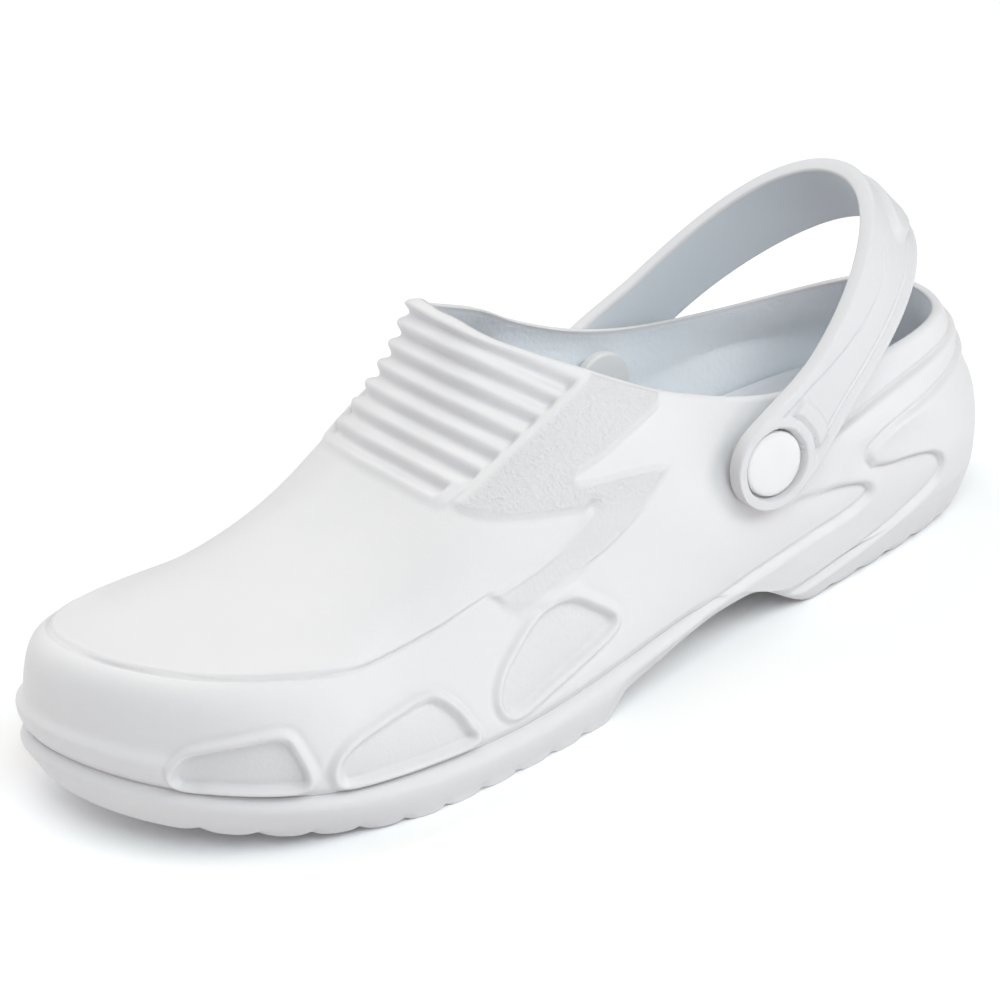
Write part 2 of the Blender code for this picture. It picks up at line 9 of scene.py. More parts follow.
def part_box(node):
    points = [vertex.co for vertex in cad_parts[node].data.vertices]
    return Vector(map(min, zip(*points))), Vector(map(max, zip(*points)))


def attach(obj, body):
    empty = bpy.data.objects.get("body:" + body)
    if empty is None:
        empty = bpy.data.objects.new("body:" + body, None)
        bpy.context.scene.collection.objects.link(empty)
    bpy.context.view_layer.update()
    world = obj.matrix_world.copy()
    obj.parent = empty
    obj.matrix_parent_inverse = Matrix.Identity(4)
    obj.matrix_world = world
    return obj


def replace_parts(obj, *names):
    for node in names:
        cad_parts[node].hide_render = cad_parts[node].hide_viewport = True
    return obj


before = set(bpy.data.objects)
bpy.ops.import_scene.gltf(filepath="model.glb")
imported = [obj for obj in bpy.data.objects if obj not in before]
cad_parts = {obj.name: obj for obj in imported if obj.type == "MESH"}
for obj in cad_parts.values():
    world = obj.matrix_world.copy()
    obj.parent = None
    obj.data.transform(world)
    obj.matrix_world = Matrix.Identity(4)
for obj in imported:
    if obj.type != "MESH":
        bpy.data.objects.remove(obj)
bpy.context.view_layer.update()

# Outsole
# The moulded foam sole under the whole shoe, with a bulged side band and rows of tread bars.
# Its raised bed plugs the open underside of the upper, and its band ends at the parting groove.

MM = 0.001

# The last in sections from the heel along the outer side to the toe and back on the inner side:
# foot line x y z, shoulder line x y z, collar rim x y z, then the profile's pitches in degrees
last_sections = np.array(
    [
        (-139, -1, 14, -142.6, -1, 35, -131, -0.5, 58.6, -12, 20, 30),
        (-126.5, 25.5, 14, -125, 26.6, 35, -122, 22.5, 58.6, -12, 20, 29),
        (-96, 36, 13, -93.5, 40, 42, -94, 31.5, 57.3, -10, 1, 16),
        (-51, 39, 8.5, -53, 41, 42, -60, 34, 59.3, -10, 2, 16),
        (-26, 42.5, 17, -21, 43, 43, -36, 32.5, 66.8, -8, 11, 34),
        (23, 49, 13, 22, 42.5, 48, -18, 32.5, 75.8, -6, 0, 56),
        (66.5, 51.5, 12.5, 67.5, 39.5, 41.5, -4.5, 27, 83.8, -4, 38, 61),
        (100.5, 44.5, 15, 88.5, 39, 42, 14.5, 15, 94.8, -4, 68, 36),
        (127, 22, 19, 115.5, 22, 45.5, 20.5, 3.5, 99.2, -1, 86, 18),
        (141, -10.5, 21, 132.5, -17.5, 48, 21.3, -4.5, 99.9, 3, 92, 21),
        (134, -42.5, 17.5, 115, -36.6, 45.5, 20.8, -13.8, 100.3, 0, 86, 18),
        (100, -50.2, 16, 88.5, -39.5, 42.5, 14.6, -23, 95.4, -4, 68, 35),
        (63, -51.3, 15, 67, -37, 43, -4.5, -29.4, 86, -4, 37, 61),
        (25, -46, 16, 22, -40.5, 48.5, -18, -36, 76.5, -6, 0, 56),
        (-20, -39, 19, -21, -38.5, 43, -36, -36, 66.8, -8, 11, 34),
        (-50, -36, 9.5, -53, -37, 42, -60, -34.5, 59.3, -10, 2, 16),
        (-91, -36, 11.5, -93, -38, 42, -94, -29.5, 56.3, -10, 1, 16),
        (-125, -27, 13.5, -128, -29, 35, -122.5, -18, 57.9, -12, 12, 32),
    ],
    float,
)
section_count = len(last_sections)
toe_station = section_count / 2
wall_thick = 4.0
inward_pull = 20.0


def unit(vectors):
    """Each vector divided by its length."""
    return vectors / np.maximum(np.linalg.norm(vectors, axis=-1, keepdims=True), 1e-9)


def smoothstep(low, high, value):
    """Cubic ease from zero at low to one at high."""
    share = np.clip((value - low) / (high - low), 0.0, 1.0)
    return share * share * (3.0 - 2.0 * share)


def swell(distance, width):
    """Bell curve: one at zero distance, falling with the square of distance over width."""
    return np.exp(-((distance / width) ** 2))


def between(low, high, fade, value):
    """One from low to high, easing to zero over the fade outside them."""
    return smoothstep(low - fade, low, value) * (1 - smoothstep(high, high + fade, value))


def hermite(start, end, start_slope, end_slope, share):
    """Cubic between two points with the given slopes at its ends."""
    square, cube = share**2, share**3
    rise = 3 * square - 2 * cube
    bends = (cube - 2 * square + share) * start_slope + (cube - square) * end_slope
    return (1 - rise) * start + rise * end + bends


def closed_spline(rows, stations):
    """Closed cubic curve through the rows with continuous curvature, and its slope, at the stations."""
    count = len(rows)
    ones = np.eye(count)
    spread = 4 * ones + np.roll(ones, 1, axis=1) + np.roll(ones, -1, axis=1)
    slopes = np.linalg.solve(spread, 3 * (np.roll(rows, -1, axis=0) - np.roll(rows, 1, axis=0)))
    row = np.floor(stations).astype(int)
    share = (stations - row)[:, None]
    here, there = row % count, (row + 1) % count
    ends = (rows[here], rows[there], slopes[here], slopes[there])
    step = 0.001
    slope = (hermite(*ends, share + step) - hermite(*ends, share - step)) / (2 * step)
    return hermite(*ends, share), slope


def open_spline(corners, count):
    """Curve of a count of points through a few corners, its slope at each the mean of both sides."""
    corners = np.asarray(corners, float)
    slopes = np.gradient(corners, axis=0)
    place = np.linspace(0, len(corners) - 1 - 1e-6, count)
    row = place.astype(int)
    return hermite(corners[row], corners[row + 1], slopes[row], slopes[row + 1], (place - row)[:, None])


def last_lines(stations):
    """Foot, shoulder and rim lines, and at each a direction: the inward plan turned up by the pitch."""
    values, slopes = closed_spline(last_sections, stations)
    foot, shoulder, rim = values[:, 0:3], values[:, 3:6], values[:, 6:9]
    along = unit(slopes[:, 0:2])
    inward = np.stack([along[:, 1], -along[:, 0]], axis=1)
    plane = unit((rim - shoulder)[:, :2] + inward_pull * inward)
    pitches = np.radians(values[:, 9:12])
    ways = [np.column_stack([np.sin(p)[:, None] * plane, np.cos(p)]) for p in pitches.T]
    return foot, shoulder, rim, ways


def profile_part(start, end, start_way, end_way, shares):
    """Cubic profile from start to end for every column, its slopes as long as the chord."""
    length = np.linalg.norm(end - start, axis=1)[:, None, None]
    ways = (length * start_way[:, None], length * end_way[:, None])
    return hermite(start[:, None], end[:, None], *ways, np.atleast_2d(shares)[..., None])


def last_skin(stations, wall_shares, top_shares):
    """Smooth skin of the last: the wall from foot to shoulder line, then the top from there to the rim."""
    foot, shoulder, rim, ways = last_lines(stations)
    wall = profile_part(foot, shoulder, ways[0], ways[1], wall_shares)
    top = profile_part(shoulder, rim, ways[1], ways[2], top_shares)
    return np.concatenate([wall, top], axis=1)


def outward_normals(points):
    """Cross product of the directions along both axes of a grid that is closed along the first."""
    around = np.roll(points, -1, axis=0) - np.roll(points, 1, axis=0)
    return unit(np.cross(np.gradient(points, axis=1), around))


def grid_quads(rows, columns, wrap_rows, wrap_columns):
    """Corner indices of a grid's quads, going on from the last row or column to the first where wrapped."""
    index = np.arange(rows * columns).reshape(rows, columns)
    if wrap_rows:
        index = np.vstack([index, index[:1]])
    if wrap_columns:
        index = np.hstack([index, index[:, :1]])
    corners = [index[:-1, :-1], index[1:, :-1], index[1:, 1:], index[:-1, 1:]]
    return np.stack(corners, axis=-1).reshape(-1, 4)


def add_piece(name, grid, wrap_rows, wrap_columns):
    """Mesh of a grid of points in millimetres, turned so that it encloses positive volume."""
    points = grid.reshape(-1, 3)
    quads = grid_quads(*grid.shape[:2], wrap_rows, wrap_columns)
    corners = points[quads]
    volume = np.einsum("ij,ij->", corners[:, 0], np.cross(corners[:, 1], corners[:, 2]))
    volume += np.einsum("ij,ij->", corners[:, 0], np.cross(corners[:, 2], corners[:, 3]))
    if volume < 0:
        quads = quads[:, ::-1]
    mesh = bpy.data.meshes.new(name)
    mesh.vertices.add(len(points))
    mesh.vertices.foreach_set("co", np.ascontiguousarray(points * MM, np.float32).ravel())
    mesh.loops.add(quads.size)
    mesh.loops.foreach_set("vertex_index", np.ascontiguousarray(quads, np.int32).ravel())
    mesh.polygons.add(len(quads))
    mesh.polygons.foreach_set("loop_start", np.arange(0, quads.size, 4, dtype=np.int32))
    mesh.update(calc_edges=True)
    piece = bpy.data.objects.new(name, mesh)
    bpy.context.scene.collection.objects.link(piece)
    return piece


def close_seams(piece):
    """Merges the points that meet on a seam or a mid line, then shades the whole mesh smooth."""
    shape = bmesh.new()
    shape.from_mesh(piece.data)
    bmesh.ops.remove_doubles(shape, verts=shape.verts, dist=0.01 * MM)
    shape.to_mesh(piece.data)
    shape.free()
    piece.data.shade_smooth()


class Socket:
    """A node's output in a finish: sums, differences and products of sockets add Math nodes."""

    def __init__(self, finish, output):
        self.finish, self.output = finish, output

    def maths(self, operation, first, second):
        return self.finish.node("ShaderNodeMath", {"operation": operation}, {0: first, 1: second})

    def __add__(self, other):
        return self.maths("ADD", self, other)

    def __rsub__(self, other):
        return self.maths("SUBTRACT", other, self)

    def __mul__(self, other):
        return self.maths("MULTIPLY", self, other)

    __radd__ = __add__
    __rmul__ = __mul__


class Finish:
    """A material of one Principled shader, whose other nodes all come from the method node."""

    def __init__(self, name, **constants):
        self.material = bpy.data.materials.new(name)
        self.material.use_nodes = True
        self.tree = self.material.node_tree
        self.shader = self.tree.nodes["Principled BSDF"]
        for socket, value in constants.items():
            self.shader.inputs[socket.replace("_", " ")].default_value = value

    def node(self, kind, settings, sockets, output=0):
        """Adds a node, sets its settings, then gives its sockets values or links."""
        node = self.tree.nodes.new(kind)
        for setting, value in settings.items():
            setattr(node, setting, value)
        for socket, value in sockets.items():
            if isinstance(value, Socket):
                self.tree.links.new(value.output, node.inputs[socket])
            else:
                node.inputs[socket].default_value = value
        return Socket(self, node.outputs[output])

    def shade(self, **sockets):
        """Links fields to the shader's sockets."""
        for socket, value in sockets.items():
            self.tree.links.new(value.output, self.shader.inputs[socket.replace("_", " ")])

    def share(self, name):
        """Share from zero to one that is stored with the piece's points under a name."""
        return self.node("ShaderNodeAttribute", {"attribute_name": name}, {}, "Fac")

    def noise(self, scale, detail):
        """Noise from zero to one over the piece's own coordinates, scale in grains per metre."""
        place = self.node("ShaderNodeTexCoord", {}, {}, "Object")
        values = {"Vector": place, "Scale": scale, "Detail": detail, "Roughness": 0.55}
        return self.node("ShaderNodeTexNoise", {}, values, "Fac")

    def tint(self, share, dark, light):
        """Colour between two colours by a share."""
        settings = {"data_type": "RGBA"}
        return self.node("ShaderNodeMix", settings, {0: share, 6: (*dark, 1), 7: (*light, 1)}, 2)

    def bump(self, height, distance, strength):
        """Normal bent by a height field of the given depth in metres."""
        values = {"Height": height, "Distance": distance, "Strength": strength}
        return self.node("ShaderNodeBump", {}, values, "Normal")


# Noises of the foam: grains per metre, detail
cloud_noise, pore_noise, mottle_noise = (26.0, 3.0), (2400.0, 2.0), (420.0, 2.0)
foam_shine, sheen_spread = 0.3, 0.04
pore_part, mottle_part, grain_strength = 0.7, 0.3, 0.5


def foam_finish(name, dark, light, roughness, grain_depth, with_inside_shade=False):
    """Moulded foam: two colours mixed by clouds, or by the share of the piece's inside, where the second
    colour is painted cool shade; and a fine pore grain as bump.
    """
    finish = Finish(name, Specular_IOR_Level=foam_shine)
    # With the inside's share, the second colour is painted shade: the bluish cast of light on the shadowed
    # inside faces, which are the same foam.
    share = finish.share("inside_shade") if with_inside_shade else finish.noise(*cloud_noise)
    pores = finish.noise(*pore_noise)
    mottle = finish.noise(*mottle_noise)
    finish.shade(
        Base_Color=finish.tint(share, dark, light),
        Roughness=roughness - sheen_spread + 2 * sheen_spread * mottle,
        Normal=finish.bump(pores * pore_part + mottle * mottle_part, grain_depth, grain_strength),
    )
    return finish


sole_columns = 1000
sole_stations = (np.arange(sole_columns) + 0.5) * section_count / sole_columns
joint_gap = 0.3
# Parting groove: depth, reach, and the stations over which it begins
groove_sink, groove_reach, joint_begins = 1.0, 1.5, (3.95, 4.35)
band_bulge, band_round, band_flat = 2.1, 3.2, 0.25
band_steps, band_lean, band_fade = 36, 0.5, 0.25
# Inset of the tread's edge from the foot line: x, inset
tread_insets = np.array(
    [(-143, 9.5), (-100, 6.5), (-60, 3.2), (0, 2), (30, 0.6), (72, 0.8), (95, 3.6), (112, 3.6), (141, 0.8)]
)
# Arch: rise, from x, to x of each step, and where it falls to the heel
arch_steps, heel_breast = [(5.2, 8.0, 19.0), (6.7, -28.0, 20.0)], (-60.0, -36.0)
ball_x, tip_x, toe_spring, toe_curve = 72.0, 141.5, 10.4, 1.7
heel_bevel_x, heel_end, heel_bevel = -122.0, -143.5, 2.0
bed_heel, bed_ball, bed_fall, bed_spring = 26.5, 17.3, (-60.0, 35.0), 0.6
# Tread fields: first groove, last groove, pitch
treads = [(25.5, 122.7, 10.8), (-121.0, -66.0, 11.0)]
# Cross grooves of the tread, and the shares of the way in from its edge over which they deepen
groove_half, groove_depth, groove_soft, groove_starts = 1.2, 1.8, 0.45, (0.02, 0.15)
# Scalloped edge of the tread: depth, share of the band's height, power of its cusps
scallop_depth, scallop_height, scallop_power = 0.9, 0.3, 1.6
# Share of the scallops' depth that they go inwards, and share of the way in over which they end
scallop_inward, scallop_fade = 0.5, 0.12
scallop_pitch = treads[0][2]
tread_steps = 24
plug_shares, plug_top_ring = np.linspace(0, 0.5, 12), 5
hair = 0.03
# Edges of the heel's layers, the proud layer on the right of each path: station, height over the floor
heel_layers = [
    [(-0.6, 54.3), (0, 54.4), (0.5, 54), (1.02, 53.1), (1.33, 52.6), (1.65, 52), (1.98, 51.2), (2.24, 50.2),
     (2.51, 48.4), (2.9, 45.4)],
    [(-0.6, 47.3), (0, 47.4), (0.5, 47), (1.07, 46), (1.35, 45.4), (1.69, 45), (1.97, 44.3), (2.18, 42.8),
     (2.34, 40.1), (2.39, 37.9), (2.37, 35.3), (2.32, 33.4), (2.21, 32), (2.03, 30.7), (1.85, 28.9),
     (1.74, 26.3), (1.71, 22.5), (1.79, 18.6), (1.95, 16.1), (2.11, 13.9), (2.3, 11.5), (2.6, 8.6),
     (2.85, 6.8), (3.1, 5.2)],
    [(3.3, 35.4), (2.84, 33.3), (2.74, 32.6), (2.57, 31.4), (2.45, 29.9), (2.39, 28.2), (2.38, 26),
     (2.45, 24.2), (2.58, 22.7), (2.77, 21.7), (3, 20.4), (3.32, 19.2), (3.75, 18), (4.2, 16.6)],
]
path_points = 6
# Each layer: the rise to its height and the reach of its slope, and the fade at its path's ends
layer_height, layer_rise, layer_reach, layer_ends = 0.7, (-0.1, 1.5), 9.0, 8.0
layer_sink, sink_soft, sink_reach = 0.4, 0.3, 4.0
layer_roll, roll_middle, roll_width = 0.25, 1.9, 1.5
layer_groove, layer_groove_middle, layer_groove_width = 0.75, -0.1, 0.65


def sole_bottom(x):
    """Tread plane along the shoe: zero under heel and ball, an eased arch, and power curves at the ends."""
    arch = sum(rise * (1 - smoothstep(back, front, x)) for rise, back, front in arch_steps)
    arch = arch * smoothstep(*heel_breast, x)
    spring = toe_spring * np.clip((x - ball_x) / (tip_x - ball_x), 0, None) ** toe_curve
    bevel = heel_bevel * np.clip((heel_bevel_x - x) / (heel_bevel_x - heel_end), 0, None) ** 2
    return arch + spring + bevel


def bed_height(x):
    """Bed inside the upper: high under the heel, low under the ball, following part of the toe spring."""
    fall = smoothstep(*bed_fall, x)
    return bed_heel + (bed_ball - bed_heel) * fall + bed_spring * sole_bottom(np.maximum(x, ball_x))


def off_groove(x):
    """Distance from each x to the middle of the nearest tread groove."""
    away = np.full(np.shape(x), 1e3)
    for start, end, pitch in treads:
        count = round((end - start) / pitch)
        nearest = start + pitch * np.clip(np.round((x - start) / pitch), 0, count)
        away = np.minimum(away, np.abs(x - nearest))
    return away


def tread_groove(x):
    """One in the tread's cross grooves and zero on its bars, eased at the grooves' edges."""
    return 1 - smoothstep(groove_half - groove_soft, groove_half + groove_soft, off_groove(x))


def scallop(x):
    """Cusp at each groove between round bars: a power of one less the sine of the way to half the pitch."""
    way = np.clip(off_groove(x) / (scallop_pitch / 2), 0, 1)
    return (1 - np.sin(way * np.pi / 2)) ** scallop_power


def joint_shows(stations):
    """Share of the parting groove that shows: none round the heel, all of it forward of the waist."""
    return smoothstep(*joint_begins, toe_station - np.abs(stations - toe_station))


chart_stations, wall_middle = np.linspace(0, toe_station, 300), 0.5
chart_line = last_skin(chart_stations, [wall_middle], [])[:, 0]
chart_run = np.append(0, np.cumsum(np.linalg.norm(np.diff(chart_line, axis=0), axis=1)))


def wall_run(stations):
    """Length along the middle of the wall from the heel, the same on both sides and below zero past it."""
    side = toe_station - np.abs(stations - toe_station)
    return np.interp(side, chart_stations, chart_run) + np.minimum(side, 0) * chart_run[-1] / toe_station


def path_place(places, path):
    """Signed distance to a path in a flat chart, above zero on its right, and the length run along it."""
    nearest = np.full(places.shape[:-1], 1e9)
    signed, along = nearest.copy(), 0 * nearest
    travelled = 0.0
    for start, end in zip(path[:-1], path[1:]):
        run = end - start
        length = np.linalg.norm(run)
        way = places - start
        share = np.clip((way @ run) / max(length**2, 1e-9), 0, 1)
        away = np.linalg.norm(way - share[..., None] * run, axis=-1)
        right = np.sign(run[1] * way[..., 0] - run[0] * way[..., 1])
        closer = away < nearest
        nearest = np.where(closer, away, nearest)
        signed = np.where(closer, away * right, signed)
        along = np.where(closer, travelled + share * length, along)
        travelled += length
    return signed, along


def heel_relief(run, height):
    """Heel layers: every edge a groove, with a roll and a rise on its right and a fall on its left."""
    places = np.stack([run + 0 * height, height], axis=-1)
    relief = 0 * height
    for corners in heel_layers:
        path = open_spline(corners, path_points * len(corners))
        path[:, 0] = wall_run(path[:, 0])
        away, along = path_place(places, path)
        right, left, end = np.maximum(away, 0), np.minimum(away, 0), along.max()
        ends = smoothstep(0, layer_ends, along) * (1 - smoothstep(end - layer_ends, end, along))
        proud = layer_height * smoothstep(*layer_rise, away) * swell(right, layer_reach)
        sunk = layer_sink * (1 - smoothstep(-sink_soft, sink_soft, away)) * swell(left, sink_reach)
        roll = layer_roll * swell(away - roll_middle, roll_width)
        groove = layer_groove * swell(away - layer_groove_middle, layer_groove_width)
        relief = relief + ends * (proud + roll - sunk - groove)
    return relief


def ring_outward(ring):
    """Level direction out of a closed ring: the way along it turned by a quarter."""
    along = np.roll(ring, -1, axis=0) - np.roll(ring, 1, axis=0)
    return unit(np.stack([-along[:, 1], along[:, 0], 0 * along[:, 0]], axis=1))


def mid_line(ring):
    """Middle between each point of a ring and the point opposite to it across the shoe."""
    return (ring + ring[::-1]) / 2


sole_foot = last_lines(sole_stations)[0]
sole_outward = ring_outward(sole_foot)
sole_joint = joint_shows(sole_stations)
sole_run = wall_run(sole_stations)
band_top = sole_foot[:, 2] - hair
tread_inset = np.interp(sole_foot[:, 0], *tread_insets.T)
band_bottom = sole_bottom((sole_foot - sole_outward * tread_inset[:, None])[:, 0])
plug_wall = last_skin(sole_stations, plug_shares, [])
plug_wall = plug_wall - outward_normals(plug_wall) * (wall_thick + joint_gap)
plug_base = plug_wall[:, 0].copy()
plug_base[:, 2] = band_top
plug_top = plug_wall[:, plug_top_ring].copy()
plug_top[:, 2] = bed_height(plug_top[:, 0])
sole_rings = [mid_line(plug_top), plug_top, plug_base]
for height in np.linspace(1, 0, band_steps):
    drop = 1 - height
    depth = drop * (band_top - band_bottom)
    inset = band_lean * drop + (1 - band_lean) * (1 - np.sqrt(1 - drop**2))
    bulge = band_bulge * np.sqrt(1 - np.clip(1 - depth / band_round, 0, 1) ** 2)
    bulge = bulge * (1 - smoothstep(band_flat, 1, drop))
    shape = sole_joint * (bulge - groove_sink * swell(depth, groove_reach)) - inset * tread_inset
    shape = shape + heel_relief(sole_run, band_top - depth) * smoothstep(0, band_fade, height)
    ring = sole_foot + sole_outward * shape[:, None]
    notch = scallop(ring[:, 0]) * (1 - smoothstep(0, scallop_height, height))
    ring -= sole_outward * (scallop_inward * scallop_depth * notch)[:, None]
    ring[:, 2] = band_top - depth + scallop_depth * notch
    if height == 1:
        sole_rings.append(ring - sole_outward * hair)
    sole_rings.append(ring)
tread_edge = sole_foot - sole_outward * (tread_inset + scallop_inward * scallop_depth * notch)[:, None]
for share in np.linspace(0, 1, tread_steps + 1)[1:]:
    ring = tread_edge + share * (mid_line(tread_edge) - tread_edge)
    edge_notch = scallop_depth * notch * (1 - smoothstep(0, scallop_fade, share))
    groove = groove_depth * tread_groove(ring[:, 0]) * smoothstep(*groove_starts, share)
    ring[:, 2] = sole_bottom(ring[:, 0]) + np.maximum(groove, edge_notch)
    sole_rings.append(ring)
outsole = add_piece("outsole_moulded", np.stack(sole_rings, axis=1), True, False)
close_seams(outsole)
sole_white = foam_finish("sole_foam", (0.64, 0.625, 0.633), (0.67, 0.655, 0.663), 0.58, 0.00012)
outsole.data.materials.append(sole_white.material)
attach(outsole, "root")
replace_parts(outsole, "outsole")

# Upper
# One hollow foam shell with a rounded collar, moulded in the same tool as the sole under it.
# Cross ribs, a toe seam, framed windows, a grained side panel and heel grooves stand in its wall.

# Columns of the fine grid: from station, to station, number
upper_spans = [
    (0, 1, 16),
    (1, 3, 110),
    (3, 4.5, 38),
    (4.5, 8.1, 292),
    (8.1, 9.9, 50),
    (9.9, 13.5, 86),
    (13.5, 18, 48),
]
# Rings of the wall, from share, to share, number, and rings of the top below and beside the ribs
wall_spans = [(0, 0.002, 1), (0.002, 0.09, 6), (0.09, 0.7, 33), (0.7, 0.88, 4), (0.88, 1, 12)]
vamp_spans = [(0, 0.09, 8), (0.09, 1, 12)]
rib_rings, inner_rings = 58, 14
# Collar's crown: rings, height, and the share of it at which it meets the inner side
crown_rings, crown_rise, crown_inside = 6, 1.8, 0.8
rim_thin, rim_thin_reach = 1.7, 13.0
# Number of a rib groove along planes across the instep: constant, per x, per z
rib_planes = (10.846, 0.1019, -0.1334)
rib_grooves, rib_depth, rib_power, rib_station = 7, 2.3, 1.2, 5.5
# Where the ribs begin: steps of the search along the top, and limits of the share
search_steps, rib_start_limits = 2000, (0.3, 0.7)
# Height of the ribs' crests at both of these stations
rib_crest, crest_stations = (0.35, 1.3), (6.35, 7.6)
# Round ends of the rib grooves: easing from the panel's edge, and their shift far down from the rim
pocket_ease, pocket_shift, pocket_down = (0.6, 2.2), 4.0, (34, 39)
# Edge of the ribbed panel: distance from the rim, station
panel_edge = np.array(
    [
        (0, 6.03), (6.8, 6.135), (14.8, 6.225), (22.8, 6.33), (30.8, 6.455), (36.8, 6.56), (39.8, 6.65),
        (60, 7.4),
    ]
)
# Softness of the panel's edge, and how far before the last rib's number the panel ends
panel_soft, panel_ends = 0.6, (0.7, 0.1)
# Bead on the panel's edge: height, width, and the distances from the rim where it ends and begins
edge_bead, edge_bead_width, edge_bead_end, edge_bead_start = 0.45, 0.9, (37, 42), (0, 3)
# Toe seam: span and fade in stations, height, step at its edge, reach of its slope
seam_span, seam_fade, seam_height, seam_step, seam_reach = (5.75, 12.25), 0.5, 0.9, (-0.5, 0.3), 6.5
seam_groove, seam_groove_low, seam_groove_width = 0.6, 0.6, 0.7
# Drift of the toe seam over the shoulder line: station, height
seam_drift = np.array([(5.4, 0), (5.7, -0.9), (6.2, 0), (7, 0.6), (7.5, 1.2), (8, 0.7), (8.5, 0), (9, 1.0)])
# Lip over the sole: span and fade in stations, height, place over the foot line, reaches above and below
lip_span, lip_fade, lip_height, lip_up, lip_reaches = (8.1, 9.9), 0.3, 1.8, 7.4, (2.2, 5.5)
# Inner edges of the framed windows: station, height over the foot line
windows = {
    "toe": [(7.92, 2.6), (7.94, 5.8), (7.88, 9.3), (7.8, 11.2), (7.64, 13), (7.45, 14.7), (7.26, 15.7),
            (7.17, 14), (7.1, 10.5), (7.05, 6.9), (7.06, 4.2), (7.21, 3.3), (7.5, 3), (7.74, 2.6)],
    "ball": [(6.76, 3.8), (6.76, 6.4), (6.7, 9.3), (6.56, 11.9), (6.35, 14), (6.13, 15.9), (5.98, 16.9),
             (5.89, 16.4), (5.84, 13.6), (5.81, 10.2), (5.8, 7), (5.78, 4.6), (5.84, 3.5), (6.03, 3.5),
             (6.28, 3.4), (6.53, 3.1), (6.7, 2.9)],
    "waist": [(5.52, 7.3), (5.49, 11.3), (5.41, 15.5), (5.32, 18.8), (5.22, 22.2), (5.12, 24.3),
              (5.03, 24.4), (4.94, 22.6), (4.87, 19.3), (4.8, 15.9), (4.77, 13.2), (4.82, 11.6),
              (4.94, 10.3), (5.11, 8.7), (5.29, 6.9), (5.45, 5.5)],
}
outline_step = 0.25
frame_height, frame_middle, frame_flanks = 1.3, 1.35, (0.85, 1.2)
# Faint hollow around each frame: depth, distance from the inner edge, width
hollow_depth, hollow_away, hollow_width = 0.3, 3.3, 0.9
# Sunk floor of a window and the grain on it, each with its easing at the inner edge
window_depth, window_edge, pane_grain, pane_edge = 1.35, (-0.4, 0.3), 0.5, (-1.2, -0.2)
# Corners of the grained side panel with its notch, x and z
side_panel = np.array(
    [
        (-24, 76.5), (-17.9, 72.6), (-12.2, 71.4), (-3.6, 69.6), (4.8, 67.6), (11.6, 66.8), (12.9, 65.6),
        (12.3, 64.3), (7, 63.5), (-1.5, 62.4), (-9.3, 60.8), (-14.1, 58.8), (-12.8, 57.4), (-7.4, 54.2),
        (-0.6, 49.9), (8.5, 45.6), (16.7, 43), (24.2, 41.2), (32.1, 38.8), (35.2, 38.3), (38.6, 41.1),
        (41.7, 45.2), (36.7, 46.1), (29.5, 47.9), (22.3, 50.4), (15.6, 54.1), (11, 57.3), (16, 58.6),
        (24.9, 60.3), (33.1, 62.1), (38.4, 63.5), (41, 64.5), (41, 65.8), (39.3, 66.6), (31.9, 70),
        (25.4, 73.1), (18.9, 75.8), (12.2, 78.5), (4.7, 81.4), (-2.3, 83.8), (-10, 88),
    ],
    float,
)
panel_ridge = np.array(
    [(11.5, 57), (15.6, 54.1), (22.3, 50.4), (29.5, 47.9), (36.7, 46.1), (41.7, 45.4)], float
)
ridge_height, ridge_width = 0.45, 0.9
# Side panel: height, step at its edge, fade under the rim, and the station past which there is none
panel_height, panel_step, panel_down, panel_station = 0.8, (-1.0, 0.8), (0.5, 6.0), 7.2
panel_bead, panel_bead_in, panel_bead_width = 0.3, 0.5, 0.7
dimple_place, dimple_depth, dimple_width = (10.4, 58.4), 1.1, 1.5
# Grain on the panel: easing at its edge, least share, and the heights between which it grows
grain_edge, grain_least, grain_heights = (-1.5, 0.0), 0.6, (50, 60)


def spans(table):
    """Even steps within each span of a table of from, to and number, one span after the other."""
    return np.concatenate([np.linspace(a, b, n, endpoint=False) for a, b, n in table])


def outline_distance(places, path):
    """Distance to a closed path, negative where a line to the right crosses it an odd number of times."""
    inside = np.zeros(places.shape[:-1], bool)
    across, up = places[..., 0], places[..., 1]
    for start, end in zip(path, np.roll(path, -1, axis=0)):
        rise = end[1] - start[1]
        crosses = (start[1] > up) != (end[1] > up)
        where = start[0] + (up - start[1]) * (end[0] - start[0]) / (rise if abs(rise) > 1e-9 else 1e-9)
        inside ^= crosses & (across < where)
    distance = np.abs(path_place(places, np.vstack([path, path[:1]]))[0])
    return np.where(inside, -distance, distance)


def rib_number(points):
    """Number of the rib groove at each point, counted along planes across the instep from the rim."""
    return rib_planes[0] + rib_planes[1] * points[..., 0] + rib_planes[2] * points[..., 2]


def store_share(piece, name, shares):
    """Stores one share for each point of a piece, for its finish to read."""
    values = np.ascontiguousarray(shares, np.float32).ravel()
    piece.data.attributes.new(name, "FLOAT", "POINT").data.foreach_set("value", values)


upper_stations = spans(upper_spans)
side_station = toe_station - np.abs(upper_stations - toe_station)
wall_shares = spans(wall_spans)
wall_rings = len(wall_shares)
